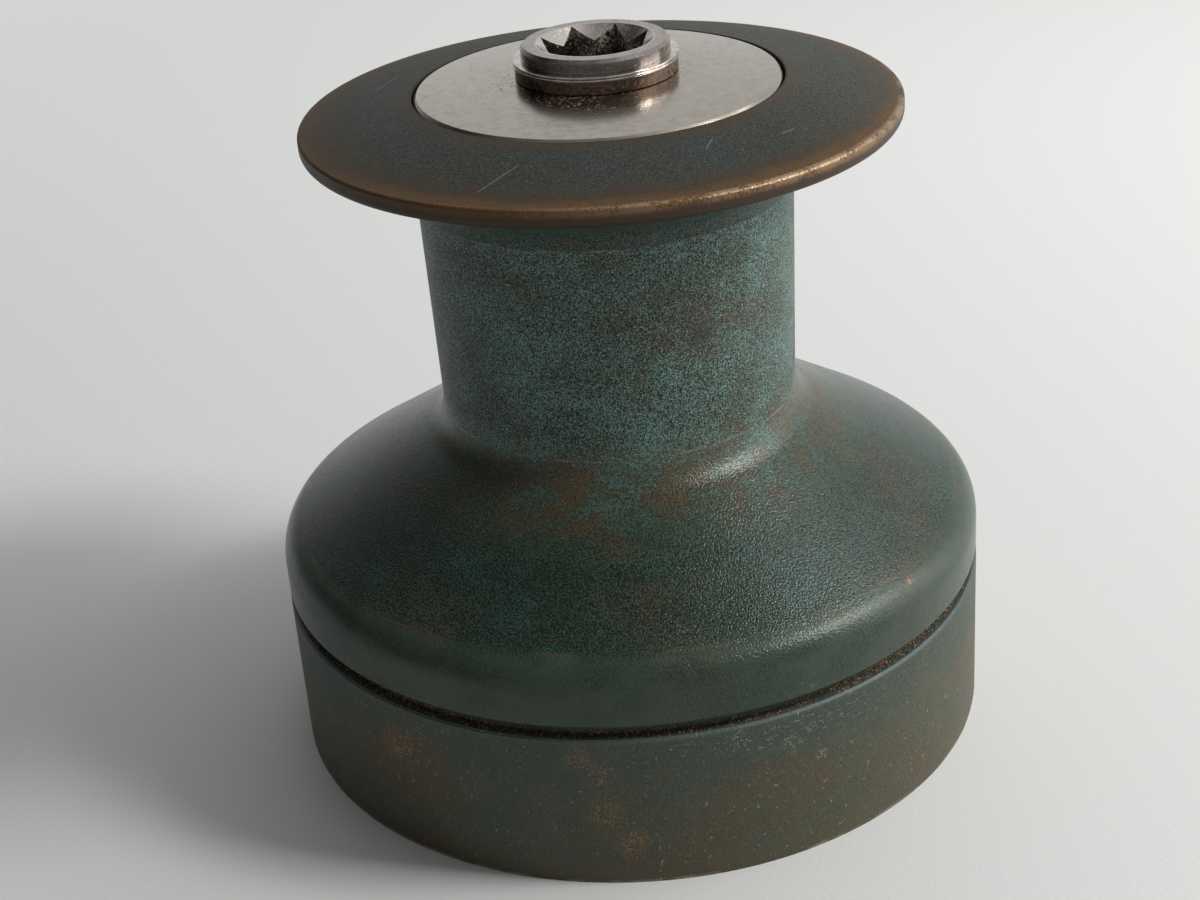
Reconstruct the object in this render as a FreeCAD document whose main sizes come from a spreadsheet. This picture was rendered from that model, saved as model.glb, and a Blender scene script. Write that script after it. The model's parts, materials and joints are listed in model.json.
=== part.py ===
import FreeCAD, Part
import math
import os
import re
import Sketcher

from FreeCAD import Placement, Rotation, Vector

doc = FreeCAD.newDocument("sheet_winch")
sheet = doc.addObject("Spreadsheet::Sheet", "Sizes")

# Driving dimensions in millimetres; the frame has its origin at the centre of the base's
# underside and +Z up the spindle
dimensions = [
    ("base_radius", 80.2),
    ("base_height", 35.9),
    ("overall_height", 157.9),
    # Base housing casting
    ("skirt_wall", 4.8),
    ("skirt_chamfer", 0.5),
    ("dust_lip_inset", 2.6),
    ("dust_lip_clearance", 0.6),
    ("floor_thickness", 6.0),
    ("floor_fillet", 2.5),
    ("deck_ring_width", 24.0),
    ("deck_relief", 1.5),
    ("drain_width", 6.0),
    ("hub_radius", 18.0),
    ("hub_height", 8.5),
    ("boss_radius", 9.0),
    ("boss_height", 10.0),
    ("bolt_inset", 12.2),
    ("bolt_hole_radius", 3.4),
    ("bolt_count", 5),
    ("window_inset", 5.0),
    ("window_radius", 7.8),
    ("post_setback", 3.0),
    ("post_radius", 6.0),
    # Centre stem casting
    ("deck_base", 24.0),
    ("deck_thickness", 6.0),
    ("deck_margin", 5.0),
    ("stem_clearance", 3.2),
    ("stem_foot_fillet", 2.5),
    ("stem_seat_radius", 32.0),
    ("stem_radius", 26.0),
    ("stem_bore_radius", 19.0),
    ("stem_flare_height", 14.0),
    ("arm_thickness", 5.0),
    ("arm_width", 15.0),
    ("arm_overlap", 2.0),
    ("neck_hole_radius", 10.5),
    # Drum bearings
    ("bearing_height", 14.0),
    ("bearing_wall", 8.3),
    ("washer_thickness", 2.7),
    # Drum casting, from its lower edge up to its rim
    ("drum_gap", 3.0),
    ("flange_setback", 0.1),
    ("flange_band", 11.2),
    ("flange_chamfer", 0.5),
    ("shoulder_round", 7.9),
    ("cone_height", 24.7),
    ("foot_radius", 39.7),
    ("foot_round", 10.0),
    ("barrel_flare", 1.2),
    ("throat_height", 9.5),
    ("throat_round", 8.0),
    ("rim_radius", 64.35),
    ("rim_thickness", 3.3),
    ("rim_bevel", 1.2),
    ("rim_slope", 5.1),
    ("drum_skin", 5.2),
    ("flange_wall", 5.7),
    ("land_width", 8.4),
    # Top cap
    ("cap_radius", 39.2),
    ("cap_gap", 0.4),
    ("cap_stand", 0.1),
    ("cap_depth", 3.5),
    ("cap_rise", 2.0),
    ("cap_bevel", 0.7),
    ("cap_skin", 2.6),
    # Gears
    ("ring_rim", 18.1),
    ("ring_teeth", 62),
    ("pinion_teeth", 16),
    ("spindle_teeth", 24),
    ("addendum", 0.9),
    ("dedendum", 1.15),
    ("tooth_slack", 0.12),
    ("ring_recess", 1.1),
    ("ring_gear_width", 8.5),
    ("lower_gear_width", 10.0),
    ("bush_flange", 1.0),
    ("neck_radius", 7.2),
    ("carrier_radius", 12.5),
    ("carrier_height", 7.2),
    ("gear_shaft_radius", 5.0),
    ("ratchet_root", 15.6),
    ("ratchet_tip", 13.3),
    ("ratchet_teeth", 12),
    # Pawls, in the sizes of the pinion's pair
    ("pawl_count", 2),
    ("pawl_reach", 10.2),
    ("pawl_heel", 1.7),
    ("pawl_nose", 1.1),
    ("pawl_length", 6.2),
    ("pawl_mouth", 4.0),
    ("pawl_lean", 10.0),
    # Spindle
    ("head_radius", 15.85),
    ("head_bevel", 0.7),
    ("mouth_radius", 12.4),
    ("mouth_depth", 12.4),
    ("star_width", 17.46),
    ("star_depth", 30.0),
    ("star_turn", 22.5),
    ("shaft_radius", 12.0),
    ("shaft_shoulder", 1.0),
    ("journal_radius", 9.0),
    ("bush_length", 20.0),
    ("bush_wall", 2.5),
    ("drive_radius", 23.4),
    ("drive_height", 8.3),
    ("drive_headroom", 1.3),
    ("drive_ratchet_root", 27.0),
    ("drive_ratchet_tip", 24.3),
    ("drive_ratchet_outer", 30.0),
    ("drive_ratchet_teeth", 16),
    ("drive_pawl_count", 3),
    ("drive_pawl_reach", 19.6),
    ("drive_pawl_scale", 1.45),
    ("ring_drop", 4.1),
    ("ring_thickness", 1.15),
    ("ring_outer", 17.6),
    ("groove_depth", 0.8),
    ("collar_radius", 17.3),
    ("collar_height", 2.6),
    ("key_width", 4.0),
    ("foot_clearance", 1.0),
    # Fits
    ("running", 0.06),
    ("side_gap", 0.2),
    ("bore_gap", 0.25),
    ("pocket_gap", 0.15),
]
aliases = [alias for alias, value in dimensions]
for row, (alias, value) in enumerate(dimensions, start=1):
    sheet.set("A%d" % row, alias)
    sheet.set("B%d" % row, str(value))
    sheet.setAlias("B%d" % row, alias)
doc.recompute()

# Heights, radii and counts that follow from the driving dimensions
derived = doc.addObject("App::VarSet", "Derived")
followedNames = []
firstValues = [
    # Down from the top of the spindle
    ("groove_base", "overall_height - ring_drop"),
    ("cap_crown", "groove_base - collar_height - side_gap"),
    ("cap_edge", "cap_crown - cap_rise"),
    ("drum_top", "cap_edge - cap_stand"),
    ("cap_seat", "cap_edge - cap_depth"),
    ("drive_base", "cap_seat - drive_headroom - drive_height"),
    ("stem_top", "drive_base - side_gap - washer_thickness"),
    ("upper_bearing_base", "stem_top - bearing_height"),
    ("rim_top", "drum_top - rim_slope"),
    ("rim_underside", "rim_top - rim_thickness"),
    ("barrel_top", "rim_underside - throat_height"),
    # Up from the deck
    ("drum_base", "base_height + drum_gap"),
    ("shoulder_height", "drum_base + flange_band"),
    ("foot_height", "shoulder_height + cone_height"),
    ("ring_base", "drum_base + ring_recess"),
    ("ring_top", "ring_base + ring_gear_width"),
    ("arm_base", "ring_top + side_gap"),
    ("spindle_gear_base", "hub_height + bush_flange + side_gap"),
    ("spindle_gear_top", "spindle_gear_base + lower_gear_width"),
    ("ratchet_base", "boss_height + side_gap"),
    # Out from the axis
    ("flange_radius", "base_radius - flange_setback"),
    ("lip_radius", "base_radius - dust_lip_inset"),
    ("skirt_inside", "base_radius - skirt_wall"),
    ("cone_slope", "cone_height / (flange_radius - foot_radius)"),
    ("barrel_top_radius", "foot_radius + barrel_flare"),
    ("ring_gear_radius", "flange_radius - flange_wall"),
    ("ring_land_radius", "ring_gear_radius - land_width"),
    ("gear_module", "2 * (flange_radius - ring_rim) / ring_teeth"),
    ("gear_offset", "gear_module * (ring_teeth - pinion_teeth) / 2"),
    ("ratchet_gear_teeth", "ring_teeth - pinion_teeth - spindle_teeth"),
    ("stem_foot_radius",
     "gear_offset - gear_module * (pinion_teeth / 2 + addendum) - stem_clearance"),
    ("post_circle_radius", "gear_offset + post_setback"),
    ("deck_radius", "post_circle_radius + post_radius + deck_margin"),
    ("window_circle_radius", "gear_offset - window_inset"),
    ("bolt_circle_radius", "base_radius - bolt_inset"),
    ("bush_radius", "journal_radius + bush_wall"),
    ("drum_bore", "stem_radius + bearing_wall + running"),
    # Angles in degrees
    ("first_bolt", "180 / bolt_count"),
    ("first_post", "360 / bolt_count"),
]


def formula(text):
    def named(match):
        word = match.group(0)
        if word in aliases:
            return "Sizes." + word
        if word in followedNames:
            return "Derived." + word
        return word
    return re.sub(r"[a-z][a-z_]*[a-z]", named, text)


def follow(name, text):
    derived.addProperty("App::PropertyFloat", name)
    derived.setExpression(name, formula(text))
    followedNames.append(name)


for name, text in firstValues:
    follow(name, text)
doc.recompute()


class Sizes:
    def __getattr__(self, name):
        if name in followedNames:
            return getattr(derived, name)
        return float(sheet.get(name))


size = Sizes()
zAxis = Vector(0, 0, 1)


# Sketch and feature helpers
def newBody(label):
    body = doc.addObject("PartDesign::Body", label)
    body.Label = label
    return body


def newSketch(body, plane, height="0"):
    sketch = body.newObject("Sketcher::SketchObject", body.Label + "_sketch")
    planes = {item.Role: item for item in body.Origin.OriginFeatures}
    sketch.AttachmentSupport = [(planes[plane], "")]
    sketch.MapMode = "FlatFace"
    if height != "0":
        sketch.setExpression("AttachmentOffset.Base.z", formula(height))
    return sketch


def bindConstraint(sketch, text, *parts, value=10.0):
    place = sketch.addConstraint(Sketcher.Constraint(*parts, value))
    sketch.setExpression("Constraints[%d]" % place, formula(text))


def lockPoint(sketch, index, end, xText, yText):
    if xText == "0":
        sketch.addConstraint(Sketcher.Constraint("PointOnObject", index, end, -2))
    else:
        bindConstraint(sketch, xText, "DistanceX", -1, 1, index, end)
    if yText == "0":
        sketch.addConstraint(Sketcher.Constraint("PointOnObject", index, end, -1))
    else:
        bindConstraint(sketch, yText, "DistanceY", -1, 1, index, end)


def drawPolygon(sketch, points):
    drawProfile(sketch, points)


def drawCircle(sketch, xText, yText, radiusText):
    index = sketch.addGeometry(Part.Circle(Vector(10, 10, 0), zAxis, 5.0), False)
    lockPoint(sketch, index, 3, xText, yText)
    bindConstraint(sketch, radiusText, "Radius", index)


def followArc(name, before, corner, after):
    """Adds the ends and the centre of the arc that rounds a corner to the followed values."""
    for side, point in (("in", before), ("out", after)):
        leg = name + "_" + side
        across = "((%s) - (%s))" % (point[0], corner[0])
        upward = "((%s) - (%s))" % (point[1], corner[1])
        follow(leg + "_length", "sqrt(%s ^ 2 + %s ^ 2)" % (across, upward))
        follow(leg + "_across", "%s / %s_length" % (across, leg))
        follow(leg + "_upward", "%s / %s_length" % (upward, leg))
    follow(name + "_cosine", "{0}_in_across * {0}_out_across + {0}_in_upward * {0}_out_upward"
           .format(name))
    follow(name + "_reach", "{0} * sqrt((1 + {0}_cosine) / (1 - {0}_cosine))".format(name))
    for way, place in (("across", corner[0]), ("upward", corner[1])):
        for side in ("in", "out"):
            follow("%s_%s_end_%s" % (name, side, way),
                   "{0} + {1}_reach * {1}_{2}_{3}".format(place, name, side, way))
        follow("%s_centre_%s" % (name, way),
               "{0} + {1}_reach / (1 + {1}_cosine) * ({1}_in_{2} + {1}_out_{2})"
               .format(place, name, way))


def drawProfile(sketch, points):
    """Closed outline of (radius, height) corners; a third value rounds the corner."""
    count = len(points)
    arrivals, departures = list(points), list(points)
    for step, corner in enumerate(points):
        if len(corner) > 2:
            followArc(corner[2], points[step - 1], corner, points[(step + 1) % count])
            arrivals[step] = (corner[2] + "_in_end_across", corner[2] + "_in_end_upward")
            departures[step] = (corner[2] + "_out_end_across", corner[2] + "_out_end_upward")
    addLoop(sketch, count)
    for step in range(count):
        following = (step + 1) % count
        if len(points[following]) > 2:
            lockPoint(sketch, step, 2, *arrivals[following])
        else:
            sketch.addConstraint(Sketcher.Constraint("Coincident", step, 2, following, 1))
        lockPoint(sketch, step, 1, *departures[step][:2])
    doc.recompute()
    for step, corner in enumerate(points):
        if len(corner) > 2:
            addArc(sketch, corner[2], (step - 1) % count, step)


def addLoop(sketch, count):
    ring = [Vector(20 * math.cos(2 * math.pi * step / count),
                   20 * math.sin(2 * math.pi * step / count), 0) for step in range(count)]
    for step in range(count):
        sketch.addGeometry(Part.LineSegment(ring[step], ring[(step + 1) % count]), False)


def addArc(sketch, name, before, after):
    """Joins the end of one line to the start of another by an arc about its followed centre."""
    centre = Vector(getattr(derived, name + "_centre_across"),
                    getattr(derived, name + "_centre_upward"), 0)
    spokes = [sketch.Geometry[before].EndPoint - centre, sketch.Geometry[after].StartPoint - centre]
    angles = [math.atan2(spoke.y, spoke.x) for spoke in spokes]
    ends = [(before, 2), (after, 1)]
    if (angles[1] - angles[0]) % (2 * math.pi) > math.pi:
        angles.reverse()
        ends.reverse()
    circle = Part.Circle(centre, zAxis, spokes[0].Length)
    arc = sketch.addGeometry(Part.ArcOfCircle(circle, *angles), False)
    for tip, (line, end) in enumerate(ends, start=1):
        sketch.addConstraint(Sketcher.Constraint("Coincident", arc, tip, line, end))
    bindConstraint(sketch, name + "_centre_upward", "DistanceY", -1, 1, arc, 3,
                   value=centre.y)
    doc.recompute()


def turned(label, points, cutFrom=None):
    """Revolves a profile about the axis, as a new body or as a cut from one."""
    body = cutFrom or newBody(label)
    sketch = newSketch(body, "XZ_Plane")
    drawProfile(sketch, points)
    kind = "PartDesign::Groove" if cutFrom else "PartDesign::Revolution"
    feature = body.newObject(kind, label + "_turn")
    feature.Profile = sketch
    feature.ReferenceAxis = (sketch, ["V_Axis"])
    feature.Angle = 360
    body.Tip = feature
    doc.recompute()
    return body


def padded(body, sketch, length):
    pad = body.newObject("PartDesign::Pad", body.Label + "_pad")
    pad.Profile = sketch
    pad.setExpression("Length", formula(length))
    body.Tip = pad
    doc.recompute()
    return pad


def pocketed(body, sketch, depth=None):
    pocket = body.newObject("PartDesign::Pocket", body.Label + "_pocket")
    pocket.Profile = sketch
    if depth:
        pocket.setExpression("Length", formula(depth))
    else:
        pocket.Type = "ThroughAll"
        pocket.Midplane = True
    body.Tip = pocket
    doc.recompute()
    return pocket


def repeated(body, feature, sketch, count, angle="360"):
    pattern = body.newObject("PartDesign::PolarPattern", body.Label + "_pattern")
    pattern.Originals = [feature]
    pattern.Axis = (sketch, ["N_Axis"])
    pattern.setExpression("Angle", formula(angle))
    pattern.setExpression("Occurrences", formula(count))
    body.Tip = pattern
    doc.recompute()


def onCircle(radius, angle):
    return "%s * cos(%s)" % (radius, angle), "%s * sin(%s)" % (radius, angle)


def ringOf(label, inner, outer, low, high):
    return turned(label, [(inner, low), (outer, low), (outer, high), (inner, high)])


def solidPart(label, shape):
    piece = doc.addObject("Part::Feature", label)
    piece.Label = label
    piece.Shape = shape
    piece.Placement = Placement(Vector(0, 0, 0), Rotation())
    return piece


# Gear and ratchet outlines
pressureAngle = math.radians(20)
flankShares = (0.6, 0.0)
sawSteep, sawCrest, sawDrop = 0.25, 0.85, 0.98


def polar(radius, angle, centre=Vector(0, 0, 0)):
    return centre + Vector(radius * math.cos(angle), radius * math.sin(angle), 0)


def involute(baseRadius, radius):
    slope = math.acos(min(1.0, baseRadius / radius))
    return math.tan(slope) - slope


def toothedWire(teeth, inward, outward, slack, centre=Vector(0, 0, 0), turn=0.0):
    """Closed outline of involute teeth about the pitch circle, slack on each tooth."""
    pitch = size.gear_module * teeth / 2
    base = pitch * math.cos(pressureAngle)
    radii = [pitch - inward] + [max(base, pitch - share * inward) for share in flankShares]
    radii.append(pitch + outward)
    half = math.pi / (2 * teeth) - slack / (2 * pitch) + involute(base, pitch)
    points = []
    for tooth in range(int(teeth)):
        middle = turn + 2 * math.pi * tooth / teeth
        rising = [(radius, half - involute(base, max(radius, base))) for radius in radii]
        points += [polar(radius, middle - spread, centre) for radius, spread in rising]
        points += [polar(radius, middle + spread, centre) for radius, spread in rising[::-1]]
    return Part.makePolygon(points + points[:1])


def gearBlank(teeth, low, width, centre=Vector(0, 0, 0), turn=0.0):
    wire = toothedWire(teeth, size.dedendum * size.gear_module,
                       size.addendum * size.gear_module, size.tooth_slack, centre, turn)
    wire.translate(Vector(0, 0, low))
    return Part.Face(wire).extrude(Vector(0, 0, width))


def ratchetWire(teeth, tip, root, centre):
    """Internal saw teeth: a steep face for the pawl, then a long slope to the next."""
    points = []
    pitch = 2 * math.pi / teeth
    for tooth in range(int(teeth)):
        points.append(polar(root, tooth * pitch, centre))
        points.append(polar(root, (tooth + sawSteep) * pitch, centre))
        points.append(polar(tip, (tooth + sawCrest) * pitch, centre))
        points.append(polar(tip, (tooth + sawDrop) * pitch, centre))
    return Part.makePolygon(points + points[:1])


def bar(radius, low, height, centre=Vector(0, 0, 0)):
    return Part.makeCylinder(radius, height, centre + Vector(0, 0, low))


def pawlShape(scale, gap, low, height, openOut):
    """A pawl lying in its pocket: round heel at the origin, nose along +Y, +X outward."""
    heel = size.pawl_heel * scale + gap
    nose = size.pawl_nose * scale + gap
    length = size.pawl_length * scale + gap
    outer = size.pawl_mouth * scale if openOut else nose
    corners = [Vector(-heel, 0, 0), Vector(-nose, length, 0), Vector(outer, length, 0)]
    if openOut:
        corners.append(Vector(outer, size.pawl_heel * scale / 2, 0))
    corners.append(Vector(heel, 0, 0))
    blade = Part.Face(Part.makePolygon(corners + corners[:1])).extrude(Vector(0, 0, height))
    shape = blade.fuse(Part.makeCylinder(heel, height)).removeSplitter()
    shape.rotate(Vector(0, 0, 0), zAxis, size.pawl_lean)
    shape.translate(Vector(0, 0, low))
    return shape


def pawlSet(count, reach, scale, gap, low, height, openOut, centre=Vector(0, 0, 0)):
    firstAngle = 40.0
    shapes = []
    for place in range(int(count)):
        shape = pawlShape(scale, gap, low, height, openOut)
        shape.translate(Vector(reach, 0, 0))
        shape.rotate(Vector(0, 0, 0), zAxis, 360.0 * place / count + firstAngle)
        shape.translate(centre)
        shapes.append(shape)
    return Part.makeCompound(shapes)


# Base housing: skirt with a dust lip, floor relieved underneath, and hub, turned in one
base = turned("base_housing", [
    ("bush_radius", "deck_relief"),
    ("base_radius - deck_ring_width", "deck_relief"),
    ("base_radius - deck_ring_width", "0"),
    ("base_radius", "0"),
    ("base_radius", "base_height - skirt_chamfer"),
    ("base_radius - skirt_chamfer", "base_height"),
    ("lip_radius", "base_height"),
    ("lip_radius", "drum_base - dust_lip_clearance"),
    ("skirt_inside", "drum_base - dust_lip_clearance"),
    ("skirt_inside", "floor_thickness + floor_fillet"),
    ("skirt_inside - floor_fillet", "floor_thickness"),
    ("hub_radius", "floor_thickness"),
    ("hub_radius", "hub_height"),
    ("bush_radius", "hub_height"),
])

# Windows, drains, posts, boss and holes of the base
sketch = newSketch(base, "XY_Plane")
drawCircle(sketch, *onCircle("window_circle_radius", "first_bolt"), "window_radius")
window = pocketed(base, sketch)
repeated(base, window, sketch, "bolt_count")
sketch = newSketch(base, "XY_Plane")
drawPolygon(sketch, [
    ("base_radius - deck_ring_width - deck_relief", "-drain_width / 2"),
    ("base_radius + deck_relief", "-drain_width / 2"),
    ("base_radius + deck_relief", "drain_width / 2"),
    ("base_radius - deck_ring_width - deck_relief", "drain_width / 2"),
])
sketch.setExpression("AttachmentOffset.Rotation.Angle", formula("first_post"))
drain = pocketed(base, sketch, "deck_relief")
drain.Reversed = True
repeated(base, drain, sketch, "2", "first_post")
sketch = newSketch(base, "XY_Plane", "deck_relief")
drawCircle(sketch, "gear_offset", "0", "boss_radius")
padded(base, sketch, "boss_height - deck_relief")
sketch = newSketch(base, "XY_Plane", "deck_relief")
drawCircle(sketch, *onCircle("post_circle_radius", "first_post"), "post_radius")
post = padded(base, sketch, "deck_base - deck_relief")
repeated(base, post, sketch, "bolt_count - 1", "360 - 2 * first_post")
sketch = newSketch(base, "XY_Plane")
drawCircle(sketch, *onCircle("bolt_circle_radius", "first_bolt"), "bolt_hole_radius")
boltHole = pocketed(base, sketch)
repeated(base, boltHole, sketch, "bolt_count")
sketch = newSketch(base, "XY_Plane")
drawCircle(sketch, "gear_offset", "0", "gear_shaft_radius + running")
pocketed(base, sketch)

# Centre stem: deck plate, foot, bearing seat and tube, with an arm over the pinion
stem = turned("centre_stem", [
    ("stem_bore_radius", "deck_base"),
    ("deck_radius", "deck_base"),
    ("deck_radius", "deck_base + deck_thickness"),
    ("stem_foot_radius + stem_foot_fillet", "deck_base + deck_thickness"),
    ("stem_foot_radius", "deck_base + deck_thickness + stem_foot_fillet"),
    ("stem_foot_radius", "foot_height - stem_flare_height"),
    ("stem_seat_radius", "foot_height - stem_flare_height / 2"),
    ("stem_seat_radius", "foot_height"),
    ("stem_radius", "foot_height"),
    ("stem_radius", "stem_top"),
    ("stem_bore_radius", "stem_top"),
])
sketch = newSketch(stem, "XY_Plane", "deck_base")
drawCircle(sketch, "gear_offset", "0", "neck_hole_radius")
neckHole = pocketed(stem, sketch, "deck_thickness")
neckHole.Reversed = True
sketch = newSketch(stem, "XY_Plane", "arm_base")
drawPolygon(sketch, [
    ("stem_bore_radius + arm_overlap", "-arm_width / 2"),
    ("gear_offset", "-arm_width / 2"),
    ("gear_offset", "arm_width / 2"),
    ("stem_bore_radius + arm_overlap", "arm_width / 2"),
])
padded(stem, sketch, "arm_thickness")
sketch = newSketch(stem, "XY_Plane", "arm_base")
drawCircle(sketch, "gear_offset", "0", "arm_width / 2")
padded(stem, sketch, "arm_thickness")
sketch = newSketch(stem, "XY_Plane", "arm_base + arm_thickness")
drawCircle(sketch, "gear_offset", "0", "gear_shaft_radius + running")
pocketed(stem, sketch, "arm_thickness")

# Gear shaft, spindle bushes, sleeve bearings of the drum and the washer under the spindle
gearShaft = doc.addObject("Part::Cylinder", "gear_shaft")
gearShaft.Label = "gear_shaft"
gearShaft.setExpression("Radius", formula("gear_shaft_radius"))
gearShaft.setExpression("Height", formula("arm_base + arm_thickness - deck_relief"))
gearShaft.setExpression("Placement.Base.x", formula("gear_offset"))
gearShaft.setExpression("Placement.Base.z", formula("deck_relief"))
turned("lower_bush", [
    ("journal_radius + running", "deck_relief"),
    ("bush_radius", "deck_relief"),
    ("bush_radius", "hub_height"),
    ("hub_radius - bush_wall", "hub_height"),
    ("hub_radius - bush_wall", "hub_height + bush_flange"),
    ("journal_radius + running", "hub_height + bush_flange"),
])
ringOf("upper_bush", "head_radius + running", "stem_bore_radius",
       "stem_top - bush_length", "stem_top")
ringOf("lower_bearing", "stem_radius", "stem_radius + bearing_wall",
       "foot_height", "foot_height + bearing_height")
ringOf("upper_bearing", "stem_radius", "stem_radius + bearing_wall",
       "upper_bearing_base", "stem_top")
ringOf("stem_washer", "head_radius + bore_gap", "drive_radius + bush_wall",
       "stem_top", "stem_top + washer_thickness")

# Drum casting: flange skirt, cone, barrel, throat and top flange, hollow inside
turned("drum", [
    ("ring_gear_radius", "drum_base"),
    ("flange_radius - flange_chamfer", "drum_base"),
    ("flange_radius", "drum_base + flange_chamfer"),
    ("flange_radius", "shoulder_height", "shoulder_round"),
    ("foot_radius", "foot_height", "foot_round"),
    ("barrel_top_radius", "barrel_top", "throat_round"),
    ("rim_radius - rim_bevel", "rim_underside"),
    ("rim_radius", "rim_underside + rim_bevel"),
    ("rim_radius", "rim_top - rim_bevel"),
    ("rim_radius - rim_bevel", "rim_top"),
    ("cap_radius + cap_gap", "drum_top"),
    ("cap_radius + cap_gap", "cap_seat"),
    ("drive_ratchet_outer", "cap_seat"),
    ("drive_ratchet_outer", "drive_base"),
    ("drum_bore", "drive_base"),
    ("drum_bore", "shoulder_height + (flange_radius - drum_bore) * cone_slope - drum_skin"),
    ("ring_land_radius",
     "shoulder_height + (flange_radius - ring_land_radius) * cone_slope - drum_skin"),
    ("ring_land_radius", "ring_top"),
    ("ring_gear_radius", "ring_top"),
])

# Drum ring gear, and the ratchet ring that the spindle drives
spaces = toothedWire(size.ring_teeth, size.addendum * size.gear_module,
                     size.dedendum * size.gear_module, -size.tooth_slack)
spaces.translate(Vector(0, 0, size.ring_base))
opening = Part.Face(spaces).extrude(Vector(0, 0, size.ring_gear_width))
solidPart("drum_ring_gear",
          bar(size.ring_gear_radius, size.ring_base, size.ring_gear_width).cut(opening))
driveTeeth = ratchetWire(size.drive_ratchet_teeth, size.drive_ratchet_tip,
                         size.drive_ratchet_root, Vector(0, 0, 0))
driveTeeth.translate(Vector(0, 0, size.drive_base))
opening = Part.Face(driveTeeth).extrude(Vector(0, 0, size.drive_height))
solidPart("drive_ratchet_ring",
          bar(size.drive_ratchet_outer, size.drive_base, size.drive_height).cut(opening))

# Top cap: shallow dome with a bevelled edge, recessed below
turned("top_cap", [
    ("cap_radius - cap_skin", "cap_seat"),
    ("cap_radius", "cap_seat"),
    ("cap_radius", "cap_edge - cap_bevel"),
    ("cap_radius - cap_bevel", "cap_edge"),
    ("collar_radius + cap_bevel", "cap_crown"),
    ("head_radius + bore_gap", "cap_crown"),
    ("head_radius + bore_gap", "cap_edge - cap_skin"),
    ("cap_radius - cap_skin", "cap_edge - cap_skin"),
])

# Main spindle: journals, drive carrier and head with the eight-point handle socket
spindle = turned("spindle_blank", [
    ("0", "deck_relief + foot_clearance"),
    ("journal_radius", "deck_relief + foot_clearance"),
    ("journal_radius", "spindle_gear_base"),
    ("shaft_radius", "spindle_gear_base"),
    ("shaft_radius", "spindle_gear_top"),
    ("shaft_radius + shaft_shoulder", "spindle_gear_top"),
    ("shaft_radius + shaft_shoulder", "stem_top - bush_length - foot_clearance"),
    ("head_radius", "stem_top - bush_length - foot_clearance"),
    ("head_radius", "drive_base"),
    ("drive_radius", "drive_base"),
    ("drive_radius", "drive_base + drive_height"),
    ("head_radius", "drive_base + drive_height"),
    ("head_radius", "groove_base"),
    ("head_radius - groove_depth", "groove_base"),
    ("head_radius - groove_depth", "groove_base + ring_thickness"),
    ("head_radius", "groove_base + ring_thickness"),
    ("head_radius", "overall_height - head_bevel"),
    ("head_radius - head_bevel", "overall_height"),
    ("0", "overall_height"),
])
sketch = newSketch(spindle, "XY_Plane", "overall_height")
starPoints = []
for corner in range(8):
    starPoints.append(onCircle("star_width / sqrt(2)", "star_turn + 45 * %d" % corner))
    starPoints.append(onCircle("star_width / 2 / cos(22.5)", "star_turn + 22.5 + 45 * %d" % corner))
drawPolygon(sketch, starPoints)
pocketed(spindle, sketch, "star_depth")
turned("spindle_mouth", [
    ("0", "overall_height - mouth_depth"),
    ("mouth_radius", "overall_height"),
    ("0", "overall_height"),
], cutFrom=spindle)
sketch = newSketch(spindle, "XY_Plane", "spindle_gear_top")
drawPolygon(sketch, [
    ("-key_width / 2", "shaft_radius - key_width / 2"),
    ("key_width / 2", "shaft_radius - key_width / 2"),
    ("key_width / 2", "shaft_radius + key_width"),
    ("-key_width / 2", "shaft_radius + key_width"),
])
pocketed(spindle, sketch, "lower_gear_width")
drivePockets = solidPart("drive_pockets", pawlSet(
    size.drive_pawl_count, size.drive_pawl_reach, size.drive_pawl_scale, size.pocket_gap,
    size.drive_base, size.drive_height, True))
mainSpindle = doc.addObject("Part::Cut", "main_spindle")
mainSpindle.Label = "main_spindle"
mainSpindle.Base = spindle
mainSpindle.Tool = drivePockets

# Key, collar, retaining ring and drive pawls on the spindle
spindleKey = doc.addObject("Part::Box", "spindle_key")
spindleKey.Label = "spindle_key"
for side in ("Length", "Width"):
    spindleKey.setExpression(side, formula("key_width"))
spindleKey.setExpression("Height", formula("lower_gear_width"))
spindleKey.setExpression("Placement.Base.x", formula("-key_width / 2"))
spindleKey.setExpression("Placement.Base.y", formula("shaft_radius - key_width / 2"))
spindleKey.setExpression("Placement.Base.z", formula("spindle_gear_base"))
doc.recompute()
ringOf("spindle_collar", "head_radius", "collar_radius",
       "cap_crown + side_gap", "groove_base")
ringOf("retaining_ring", "head_radius - groove_depth", "ring_outer",
       "groove_base", "groove_base + ring_thickness")
solidPart("drive_pawls", pawlSet(
    size.drive_pawl_count, size.drive_pawl_reach, size.drive_pawl_scale, 0.0,
    size.drive_base, size.drive_height - size.side_gap, False))

# Gear train: spindle gear, ratchet gear and pinion with its pawl carrier
gearCentre = Vector(size.gear_offset, 0, 0)
spindleGear = gearBlank(size.spindle_teeth, size.spindle_gear_base, size.lower_gear_width)
spindleGear = spindleGear.cut(bar(size.shaft_radius, size.spindle_gear_base,
                                  size.lower_gear_width))
solidPart("spindle_gear", spindleGear.cut(spindleKey.Shape))

ratchetGear = gearBlank(size.ratchet_gear_teeth, size.ratchet_base, size.lower_gear_width,
                        gearCentre, math.pi / size.ratchet_gear_teeth)
sawTeeth = ratchetWire(size.ratchet_teeth, size.ratchet_tip, size.ratchet_root, gearCentre)
sawTeeth.translate(Vector(0, 0, size.ratchet_base))
sawDepth = size.carrier_height + size.side_gap
ratchetGear = ratchetGear.cut(Part.Face(sawTeeth).extrude(Vector(0, 0, sawDepth)))
ratchetGear = ratchetGear.cut(bar(size.neck_radius + size.running, size.ratchet_base,
                                  size.lower_gear_width, gearCentre))
solidPart("ratchet_gear", ratchetGear)

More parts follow.
